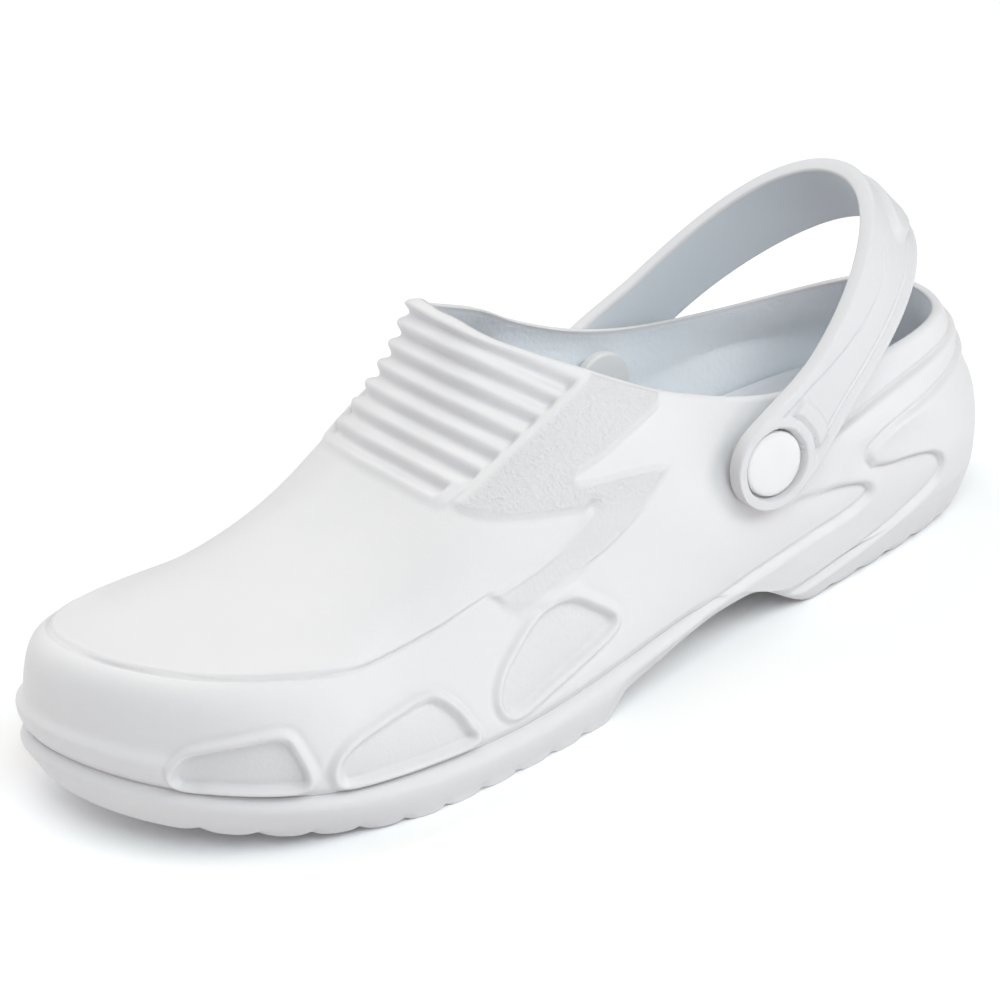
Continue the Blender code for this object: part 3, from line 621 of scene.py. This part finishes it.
# The rings of the top run along the ribs: share of the top's length at which each column's ribs begin
rough_top = last_skin(upper_stations, [], np.linspace(0, 1, search_steps))
rib_start = np.clip((rib_number(rough_top) > rib_grooves).mean(axis=1), *rib_start_limits)[:, None]
vamp_shares = rib_start * spans(vamp_spans)
rib_shares = rib_start + (1 - rib_start) * np.linspace(0, 1, rib_rings)
skin = last_skin(upper_stations, wall_shares, np.concatenate([vamp_shares, rib_shares], axis=1))
skin_normals = outward_normals(skin)
steps = np.linalg.norm(np.diff(skin, axis=1), axis=2)
up = np.concatenate([np.zeros((len(skin), 1)), np.cumsum(steps, axis=1)], axis=1)
down = up[:, -1:] - up
column_run = np.linalg.norm(np.roll(skin, -1, axis=0) - np.roll(skin, 1, axis=0), axis=2)
column_step = (np.roll(upper_stations, -1) - np.roll(upper_stations, 1)) % section_count
across_scale = column_run / column_step[:, None]
along_wall = wall_run(upper_stations)[:, None] + 0 * up
over_foot = np.stack([along_wall, up], axis=-1)
side_view = np.stack([skin[..., 0], skin[..., 2]], axis=-1)

# Rounded lower edge over the parting groove
relief = -groove_sink * swell(up, groove_reach) * joint_shows(upper_stations)[:, None]
# Toe seam as a step along the shoulder line, and the lip over the sole
drift = np.interp(side_station, *seam_drift.T)[:, None]
over_seam = up - up[:, wall_rings : wall_rings + 1] - drift
seam = between(*seam_span, seam_fade, upper_stations)[:, None]
seam_slope = swell(np.maximum(over_seam, 0), seam_reach)
relief += seam * seam_height * smoothstep(*seam_step, over_seam) * seam_slope
relief -= seam * seam_groove * swell(over_seam + seam_groove_low, seam_groove_width)
lip = between(*lip_span, lip_fade, upper_stations)[:, None]
lip_reach = np.where(up > lip_up, *lip_reaches)
relief += lip_height * lip * swell(up - lip_up, lip_reach)
# Cross ribs: cosine waves along their planes, ending in round pockets at the panel's beaded edge
rib_count = rib_number(skin)
in_panel = (side_station[:, None] - np.interp(down, *panel_edge.T)) * across_scale
ribbed = (rib_count > -0.5) & (rib_count < rib_grooves - 0.5) & (side_station[:, None] > rib_station)
wave = 0.5 + 0.5 * np.cos(2 * np.pi * rib_count)
pocket = in_panel - pocket_shift * smoothstep(*pocket_down, down)
relief -= rib_depth * np.where(ribbed, wave**rib_power, 0) * smoothstep(*pocket_ease, pocket)
past_ribs = smoothstep(rib_grooves - panel_ends[0], rib_grooves - panel_ends[1], rib_count)
panel_mask = smoothstep(-panel_soft, panel_soft, in_panel) * (1 - past_ribs)
crest = rib_crest[0] + (rib_crest[1] - rib_crest[0]) * smoothstep(*crest_stations, side_station)[:, None]
relief += crest * panel_mask
bead = edge_bead * swell(in_panel, edge_bead_width) * (1 - smoothstep(*edge_bead_end, down))
relief += bead * smoothstep(*edge_bead_start, down)
# Framed windows: a round frame about a sunk floor
panes = 0 * up
for outline in windows.values():
    corners = np.array(outline, float)
    corners[:, 0] = wall_run(corners[:, 0])
    path = closed_spline(corners, np.arange(0, len(corners), outline_step))[0]
    away = outline_distance(over_foot, path)
    frame_round = frame_height * swell(away - frame_middle, np.where(away < frame_middle, *frame_flanks))
    relief += frame_round - hollow_depth * swell(away - hollow_away, hollow_width)
    relief -= window_depth * (1 - smoothstep(*window_edge, away))
    panes += pane_grain * (1 - smoothstep(*pane_edge, away))
# Grained side panel with its ridge and dimple
off_rim = smoothstep(*panel_down, down)
beside_ribs = (upper_stations[:, None] < panel_station) * (1 - panel_mask)
panel_away = outline_distance(side_view, side_panel)
relief += panel_height * (1 - smoothstep(*panel_step, panel_away)) * off_rim * beside_ribs
relief += panel_bead * swell(panel_away + panel_bead_in, panel_bead_width) * off_rim * beside_ribs
relief += ridge_height * swell(path_place(side_view, panel_ridge)[0], ridge_width) * beside_ribs
dimple = np.linalg.norm(side_view - dimple_place, axis=-1)
relief -= dimple_depth * swell(dimple, dimple_width) * beside_ribs
# Heel layers, which go on from the sole's band
relief += heel_relief(along_wall, skin[..., 2])

outer = skin + skin_normals * relief[..., None]
thin = rim_thin * (1 - smoothstep(0, rim_thin_reach, down))
inner = skin - skin_normals * (wall_thick - thin)[..., None]
inner[:, 0, 2] = skin[:, 0, 2]
mean_up = up.mean(axis=0)
inner_pick = np.abs(mean_up[:, None] - np.linspace(mean_up[-1], 0, inner_rings)).argmin(axis=0)
rim_out, rim_in = outer[:, -1], inner[:, -1]
rise = unit(skin[:, -1] - skin[:, -2])
turn = np.linspace(0, np.pi / 2, crown_rings)[1:, None, None]
crown = rim_in + np.cos(turn) * (rim_out - rim_in) + np.sin(turn) * crown_rise * rise
crown = np.concatenate([crown, [rim_in + crown_inside * crown_rise * rise]])
foot_lip = outer[:, :1] + hair * unit(inner[:, :1] - outer[:, :1])
upper_grid = np.concatenate([outer, crown.transpose(1, 0, 2), inner[:, inner_pick], foot_lip], axis=1)
upper = add_piece("upper_moulded", upper_grid, True, True)
upper.data.shade_smooth()
grain = np.zeros(upper_grid.shape[:2])
grain_growth = grain_least + (1 - grain_least) * smoothstep(*grain_heights, skin[..., 2])
panel_grain = (1 - smoothstep(*grain_edge, panel_away)) * beside_ribs * grain_growth
grain[:, : up.shape[1]] = panel_grain + panes
store_share(upper, "grain", grain)
# Share of the inside faces. The finish reads it both for the inside's weave bump and for its painted shade
# colour
inside_shade = np.zeros(upper_grid.shape[:2])
inside_shade[:, up.shape[1] + crown_rings :] = 1
store_share(upper, "inside_shade", inside_shade)

# Noises of the panel's pebbles and of the weave on the inside: grains per metre, detail
pebble_noise, weave_noise, upper_roughness = (950.0, 1.0), (620.0, 1.0), 0.55
weave_part, upper_pore_part, upper_grain_depth, upper_grain_strength = 0.5, 0.12, 0.0006, 0.8
# The inside is the same white foam as the wall: its lighter, bluer colour is painted light, the cool light in
# the shade inside the shoe
grained_white, plain_white, inside_shade_white = (0.60, 0.588, 0.595), (0.695, 0.68, 0.687), (0.745, 0.768, 0.798)
upper_white = Finish("upper_foam", Specular_IOR_Level=foam_shine)
pebble_share = upper_white.share("grain")
inside_shade_share = upper_white.share("inside_shade")
pebbles = upper_white.noise(*pebble_noise) * pebble_share * pebble_share
weave = upper_white.noise(*weave_noise) * inside_shade_share
pores = upper_white.noise(*pore_noise)
mottle = upper_white.noise(*mottle_noise)
plain_share = (0.5 + 0.5 * upper_white.noise(*cloud_noise)) * (1 - pebble_share)
wall_colour = upper_white.tint(plain_share, grained_white, plain_white)
# Painted shade: the inside faces take the lighter, bluer inside colour in place of the wall's colour
with_inside_shade = {0: inside_shade_share, 6: wall_colour, 7: (*inside_shade_white, 1)}
upper_grain = pebbles + weave_part * weave + upper_pore_part * pores
upper_white.shade(
    Base_Color=upper_white.node("ShaderNodeMix", {"data_type": "RGBA"}, with_inside_shade, 2),
    Roughness=upper_roughness - sheen_spread + 2 * sheen_spread * mottle,
    Normal=upper_white.bump(upper_grain, upper_grain_depth, upper_grain_strength),
)
upper.data.materials.append(upper_white.material)
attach(upper, "root")
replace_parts(upper, "upper")

# Insole
# A thin foam bed that lies loose on the sole inside the upper.
# Its edge stands up against the wall, and its middle is dished for the foot.

insole_thick, insole_clear, insole_dish = 3.0, 0.5, 0.8
insole_columns, dish_steps = 480, 20
insole_stations = (np.arange(insole_columns) + 0.5) * section_count / insole_columns
insole_shares = np.linspace(0, 0.9, 40)
insole_wall = last_skin(insole_stations, insole_shares, [])
insole_wall = insole_wall - outward_normals(insole_wall) * (wall_thick + insole_clear)


def wall_ring_at(wall, raise_by):
    """Ring on a wall where it passes the bed's height plus a rise, by straight steps between its rings."""
    over = wall[..., 2] - bed_height(wall[..., 0]) - raise_by
    above = np.argmax(over > 0, axis=1)
    columns = np.arange(len(wall))
    low, high = over[columns, above - 1], over[columns, above]
    share = (-low / (high - low))[:, None]
    return wall[columns, above - 1] * (1 - share) + wall[columns, above] * share


insole_low = wall_ring_at(insole_wall, joint_gap)
insole_high = wall_ring_at(insole_wall, joint_gap + insole_thick)
insole_rim = np.where(np.abs(insole_low) < np.abs(insole_high), insole_low, insole_high)
insole_outward = ring_outward(insole_rim)


def insole_ring(inset, height):
    """Ring at an inset from the insole's rim and a height over the bed."""
    ring = insole_rim - insole_outward * inset
    ring[:, 2] = bed_height(ring[:, 0]) + joint_gap + height
    return ring


# Edge of the insole: inset from its rim, height over its underside
edge_rings = [(0, 0), (0, 1.6), (0.3, 2.4), (0.9, 2.9), (1.5, 3.0), (2.2, 2.8), (3.0, 2.35), (4.0, 2.2)]
insole_rings = [insole_ring(inset, height) for inset, height in edge_rings]
insole_rings.insert(0, mid_line(insole_rings[0]))
dish_edge = insole_rings[-1]
for share in np.linspace(0, 1, dish_steps)[1:]:
    ring = dish_edge + share * (mid_line(dish_edge) - dish_edge)
    ring[:, 2] = bed_height(ring[:, 0]) + joint_gap + insole_thick - insole_dish
    insole_rings.append(ring)
insole = add_piece("insole_moulded", np.stack(insole_rings, axis=1), True, False)
close_seams(insole)
# The insole is the same white foam: its bluish grey is painted shade, the cool cast of the light deep inside
# the shoe
insole_shaded_white = foam_finish("insole_foam", (0.66, 0.675, 0.70), (0.70, 0.712, 0.735), 0.65, 0.0002)
insole.data.materials.append(insole_shaded_white.material)
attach(insole, "root")
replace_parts(insole, "insole")

# Heel strap
# A flat foam band moulded in a U, with a raised upper border and round ends.
# Each end is held to the side of the upper by one rivet, about which the strap swings.

pivot_x, pivot_z, strap_tilt = -44.0, 49.7, np.radians(31.2)
strap_reach, strap_thick, strap_end_radius = 83.8, 4.6, 12.4
strap_half_width, strap_back_width, strap_widening = 9.5, 11.8, 30.0
strap_round, strap_cone = 2.06, 0.0014
seat_depth, seat_edge = 3.0, (9.3, 10.0)
strap_low, strap_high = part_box("heel_strap")
strap_sides = (strap_high[1] / MM, strap_low[1] / MM)
strap_steps, end_steps, tip_start = 400, 40, np.radians(1.0)
# Rounded edges: radius, its limit as a share of the half width, and the points on each quarter turn
strap_soft, soft_limit, edge_points = 1.0, 0.45, 5
# Points across the face, and how many lie below this share of its half width
face_steps, lower_steps, lower_share = 88, 28, -0.55
# Edge of the upper border over the band's middle: run from the rivet, height
border_edge = np.array(
    [
        (8, 9), (10.5, 8.4), (21.8, 6.8), (32.8, 4.4), (45.3, 2.4), (56.9, 1.6), (68.1, 2.8), (82, 5.2),
        (104, 7.5),
    ]
)
# Sunk field under the border: depth, softness of its edges, distances from the rivet where it begins
field_depth, field_soft, field_begins = 0.8, 0.3, (12.6, 13.2)
border_groove, border_groove_low, border_groove_width = 0.5, 0.4, 0.6
# Bead at the lower edge: its place, depth of its grooves, distances from the rivet where it begins
bead_up, bead_depth, bead_begins = 2.6, 0.7, (12.6, 14.0)
# Grooves of the bead: share of the depth, place from the bead, width
bead_grooves = [(1.0, -0.2, 0.55), (0.6, 1.4, 0.5)]
# Crescent: height, easings of its inner and outer arcs about the rivet, shift of the outer one, span across
crescent_height, crescent_inner, crescent_outer = 1.1, (13.4, 14.0), (17.4, 18.0)
crescent_shift, crescent_span, crescent_fade = 0.5, (-7.2, 5.8), 0.8
# Oval pad: height, half length, half width, drop under the band's middle, easing of its edge
pad_height, pad_long, pad_wide, pad_drop, pad_edge = 2.0, 27.0, 7.6, 2.2, (0.82, 1.02)
strap_back = np.array([-np.cos(strap_tilt), 0, np.sin(strap_tilt)])
strap_wide = np.array([np.sin(strap_tilt), 0, np.cos(strap_tilt)])
shoe_left = np.array([0, 1, 0])
strap_middle, strap_half = sum(strap_sides) / 2, (strap_sides[0] - strap_sides[1]) / 2
strap_turn = np.linspace(-np.pi / 2, np.pi / 2, strap_steps)
bow_reach = strap_reach * np.abs(np.cos(strap_turn)) ** (2 / strap_round)
bow_side = np.sign(strap_turn) * np.abs(np.sin(strap_turn)) ** (2 / strap_round)
bow_across = strap_middle - strap_half * bow_side
bow_reach[[0, -1]] = 0
bow_normal = unit(np.column_stack([-np.gradient(bow_across), np.gradient(bow_reach)]))
bow_normal[0], bow_normal[-1] = (0, 1), (0, -1)
bow_width = strap_half_width + (strap_end_radius - strap_half_width) * (
    1 - smoothstep(0, strap_widening, bow_reach)
)
bow_width += (strap_back_width - strap_half_width) * smoothstep(strap_widening, strap_reach, bow_reach)
tip_angle = np.linspace(tip_start, np.pi / 2, end_steps + 1)[:-1]
tip_reach, tip_width = -strap_end_radius * np.cos(tip_angle), strap_end_radius * np.sin(tip_angle)
tip_normal = np.tile((0.0, 1.0), (end_steps, 1))
tip_ones = np.ones(end_steps)
strap_line = np.concatenate([tip_reach, bow_reach, tip_reach[::-1]])
strap_across = np.concatenate([bow_across[0] * tip_ones, bow_across, bow_across[-1] * tip_ones])
strap_normal = np.concatenate([tip_normal, bow_normal, -tip_normal])
strap_width = np.concatenate([tip_width, bow_width, tip_width[::-1]])
strap_run = np.append(0, np.cumsum(np.hypot(np.diff(strap_line), np.diff(strap_across))))
strap_run -= strap_run[end_steps]
strap_run = np.minimum(strap_run, strap_run[-1] - strap_end_radius - strap_run)


def strap_section(width):
    """Closed loop across the band: outer face from edge to edge, rounded edges, and the inner face back."""
    corner = np.linspace(0, np.pi / 2, edge_points + 2)[1:-1]
    soft = np.minimum(strap_soft, soft_limit * width)[:, None]
    lower = np.linspace(-1, lower_share, lower_steps, endpoint=False)
    places = np.append(lower, np.linspace(lower_share, 1, face_steps - lower_steps))
    flat = (width[:, None] - soft) * places
    edge = (width[:, None] - soft) + soft * np.sin(corner)
    fall = -soft * (1 - np.cos(corner))
    under = 0 * flat - strap_thick
    across = np.concatenate([flat, edge, edge[:, ::-1], flat[:, ::-1], -edge, -edge[:, ::-1]], axis=1)
    depth = [0 * flat, fall, -strap_thick - fall[:, ::-1], under, -strap_thick - fall, fall[:, ::-1]]
    return across, np.concatenate(depth, axis=1)


section_across, section_depth = strap_section(strap_width)
on_outside = np.arange(section_across.shape[1]) < face_steps
run = strap_run[:, None] + 0 * section_across
# Upper border over a sunk field whose edge drifts to the middle of the band, and a bead at the lower edge
rivet_away = np.hypot(run, section_across)
over_line = section_across - np.interp(strap_run, *border_edge.T)[:, None]
over_edge = section_across + strap_width[:, None] - bead_up
past_rivet = smoothstep(*field_begins, rivet_away) * (run > 0)
in_field = past_rivet * smoothstep(-field_soft, field_soft, over_edge)
strap_relief = -field_depth * (1 - smoothstep(-field_soft, field_soft, over_line)) * in_field
strap_relief -= border_groove * swell(over_line + border_groove_low, border_groove_width) * in_field
off_seat = smoothstep(*bead_begins, rivet_away) * (run > 0)
bead_lines = sum(share * swell(over_edge - place, width) for share, place, width in bead_grooves)
strap_relief -= bead_depth * bead_lines * off_seat
# Crescent beside the rivet, the rivet's seat, and the plain oval pad behind the heel
outer_arc = np.hypot(run - crescent_shift, section_across)
crescent = smoothstep(*crescent_inner, rivet_away) * (1 - smoothstep(*crescent_outer, outer_arc))
crescent *= between(*crescent_span, crescent_fade, section_across) * (run > 0)
strap_relief += crescent_height * crescent
strap_relief -= seat_depth * (1 - smoothstep(*seat_edge, rivet_away))
oval = np.hypot((run - strap_run.max()) / pad_long, (section_across + pad_drop) / pad_wide)
strap_relief += pad_height * (1 - smoothstep(*pad_edge, oval))
section_depth = section_depth + strap_relief * on_outside
strap_pivot = np.array([pivot_x, 0, pivot_z])
strap_centre = strap_pivot + strap_line[:, None] * strap_back + strap_across[:, None] * shoe_left
strap_outward = strap_normal[:, :1] * strap_back + strap_normal[:, 1:] * shoe_left
strap_grid = (
    strap_centre[:, None]
    + section_depth[..., None] * strap_outward[:, None]
    + section_across[..., None] * (strap_wide - strap_cone * strap_line[:, None, None] * strap_back)
)
strap_tips = strap_grid.mean(axis=1, keepdims=True)[[0, -1]] + 0 * strap_grid[[0, -1]]
strap_grid = np.concatenate([strap_tips[:1], strap_grid, strap_tips[1:]])
heel_strap = add_piece("heel_strap_moulded", strap_grid, False, True)
inner_middle = 1.5 * face_steps + 2 * edge_points
facing_in = np.abs(np.arange(strap_grid.shape[1]) - inner_middle) < face_steps / 2
# Marks the band's inner face for painted shade: its bluer colour stands in for the cool light in its shadow
store_share(heel_strap, "inside_shade", np.tile(facing_in, strap_grid.shape[0]))
close_seams(heel_strap)
# Second colour is painted shade on the inner face: the same foam, given the bluish cast of the shadow it lies
# in
strap_white = foam_finish("strap_foam", (0.62, 0.61, 0.62), (0.615, 0.643, 0.675), 0.55, 0.00008, True)
heel_strap.data.materials.append(strap_white.material)
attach(heel_strap, "root")
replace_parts(heel_strap, "heel_strap")

# Rivets
# Two-part snap rivets of smooth hard plastic, a broad head outside and a disc inside.
# The head's shank goes through strap and wall and snaps into the disc.

rivet_sides, sharp_angle = 96, np.radians(50)
shank_radius, socket_depth, head_under = 3.0, 1.6, -2.7
# Outer head, sunk in its seat: radius and height from the strap's face
head_profile = [
    (0, -0.9), (4, -0.92), (6.8, -1.0), (7.8, -1.1), (8.35, -1.25), (8.7, -1.5), (8.8, -1.8),
    (8.8, head_under),
]
# Inner disc: radius and height over its face on the wall
disc_profile = [(8.6, 0), (8.6, -1.9), (8.45, -2.3), (8.1, -2.6), (7.6, -2.72), (4, -2.78), (0, -2.8)]
rivet_white = Finish("rivet_plastic", Specular_IOR_Level=0.5)
rivet_speck = rivet_white.noise(900.0, 2.0)
rivet_white.shade(
    Base_Color=rivet_white.tint(rivet_white.noise(60.0, 2.0), (0.70, 0.685, 0.685), (0.73, 0.715, 0.712)),
    Roughness=0.26 + 0.1 * rivet_speck,
    Normal=rivet_white.bump(rivet_speck, 0.00004, 0.4),
)


def turned_piece(name, profile, side, y):
    """Profile of radius and height turned about the rivet axis, heights measured outwards from y."""
    radius, height = np.array(profile, float).T
    angle = np.linspace(0, 2 * np.pi, rivet_sides, endpoint=False)[:, None]
    across, rise = radius * np.cos(angle), radius * np.sin(angle)
    grid = np.stack([pivot_x + across, y + side * height + 0 * angle, pivot_z + rise], axis=-1)
    piece = add_piece(name, grid, True, False)
    close_seams(piece)
    piece.data.set_sharp_from_angle(angle=sharp_angle)
    piece.data.materials.append(rivet_white.material)
    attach(piece, "root")
    return piece


for side, word, strap_y in ((1, "outer", strap_sides[0]), (-1, "inner", strap_sides[1])):
    cap_low, cap_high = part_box(f"rivet_cap_{word}")
    cap_y = (cap_high if side > 0 else cap_low)[1] / MM
    shank_end = joint_gap - abs(strap_y - cap_y) - socket_depth
    shank = [(shank_radius, head_under), (shank_radius, shank_end), (0, shank_end)]
    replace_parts(turned_piece(f"rivet_head_{word}", head_profile + shank, side, strap_y), f"rivet_{word}")
    hole = shank_radius + joint_gap
    socket = [(0, -socket_depth - joint_gap), (hole, -socket_depth - joint_gap), (hole, 0)]
    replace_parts(turned_piece(f"rivet_disc_{word}", socket + disc_profile, side, cap_y), f"rivet_cap_{word}")

# Studio
# A plain white floor and soft light from large panels, as for a catalogue picture.
# The camera stands at the outer side before the toe and is rolled as the picture is.

floor_mesh = bpy.data.meshes.new("floor")
floor_half = 4.0
floor_corners = [(floor_half * x, floor_half * y, 0) for x, y in ((-1, -1), (1, -1), (1, 1), (-1, 1))]
floor_mesh.from_pydata(floor_corners, [], [(0, 1, 2, 3)])
floor = bpy.data.objects.new("floor", floor_mesh)
bpy.context.scene.collection.objects.link(floor)
floor_white = Finish("floor_paper", Roughness=0.9, Specular_IOR_Level=0.1)
floor_cloud = floor_white.noise(3.0, 1.0)
floor_white.shade(Base_Color=floor_white.tint(floor_cloud, (0.95, 0.95, 0.95), (0.96, 0.96, 0.96)))
floor.data.materials.append(floor_white.material)

world = bpy.data.worlds.new("studio")
bpy.context.scene.world = world
world.use_nodes = True
backdrop = world.node_tree.nodes["Background"]
backdrop.inputs["Color"].default_value = (0.85, 0.92, 1.0, 1)
backdrop.inputs["Strength"].default_value = 0.14
bpy.context.scene.view_settings.view_transform = "Standard"
shoe_middle = Vector((0, 0, 0.05))


def light_panel(name, place, size, power, colour):
    """Square area light at a place in metres, facing the shoe."""
    data = bpy.data.lights.new(name, "AREA")
    data.size, data.energy, data.color = size, power, colour
    lamp = bpy.data.objects.new(name, data)
    bpy.context.scene.collection.objects.link(lamp)
    lamp.location = place
    lamp.rotation_euler = (shoe_middle - Vector(place)).to_track_quat("-Z", "Y").to_euler()


# Panels: name, place, side length, power, colour
panels = [
    ("top_panel", (0, 0, 1.5), 1.4, 4.4, (1.0, 0.76, 0.5)),
    ("outer_panel", (0, 1.0, 1.2), 1.1, 15.0, (0.84, 0.97, 1.0)),
    ("heel_panel", (-1.0, 1.0, 0.8), 0.7, 9.4, (1.0, 0.95, 0.95)),
    ("inner_panel", (0, -1.0, 1.2), 1.3, 9.2, (0.92, 0.95, 1.0)),
    ("toe_panel", (0.8, -1.0, 0.8), 1.3, 9.8, (0.97, 1.0, 1.0)),
    ("front_panel", (1.0, 1.0, 0.8), 1.1, 3.2, (1.0, 0.85, 0.88)),
]
for panel in panels:
    light_panel(*panel)

azimuth, elevation, roll = np.radians((149.88, 26.54, -8.42))
camera_distance, camera_aim, picture_focus = 0.775, np.array([0.00903, -0.00444, 0.04273]), 2950.0
picture_side, film_side = 1000, 36.0
towards = np.array(
    [np.sin(azimuth) * np.cos(elevation), -np.cos(azimuth) * np.cos(elevation), np.sin(elevation)]
)
level = unit(np.cross((0, 0, 1), towards))
upright = np.cross(towards, level)
right = np.cos(roll) * level + np.sin(roll) * upright
top = np.cos(roll) * upright - np.sin(roll) * level
camera_data = bpy.data.cameras.new("camera")
camera_data.sensor_width = film_side
camera_data.lens = picture_focus * film_side / picture_side
camera_data.clip_start = 0.01
camera = bpy.data.objects.new("camera", camera_data)
bpy.context.scene.collection.objects.link(camera)
turned = np.eye(4)
turned[:3] = np.column_stack([right, top, towards, camera_aim + towards * camera_distance])
camera.matrix_world = Matrix(turned.tolist())
bpy.context.scene.camera = camera
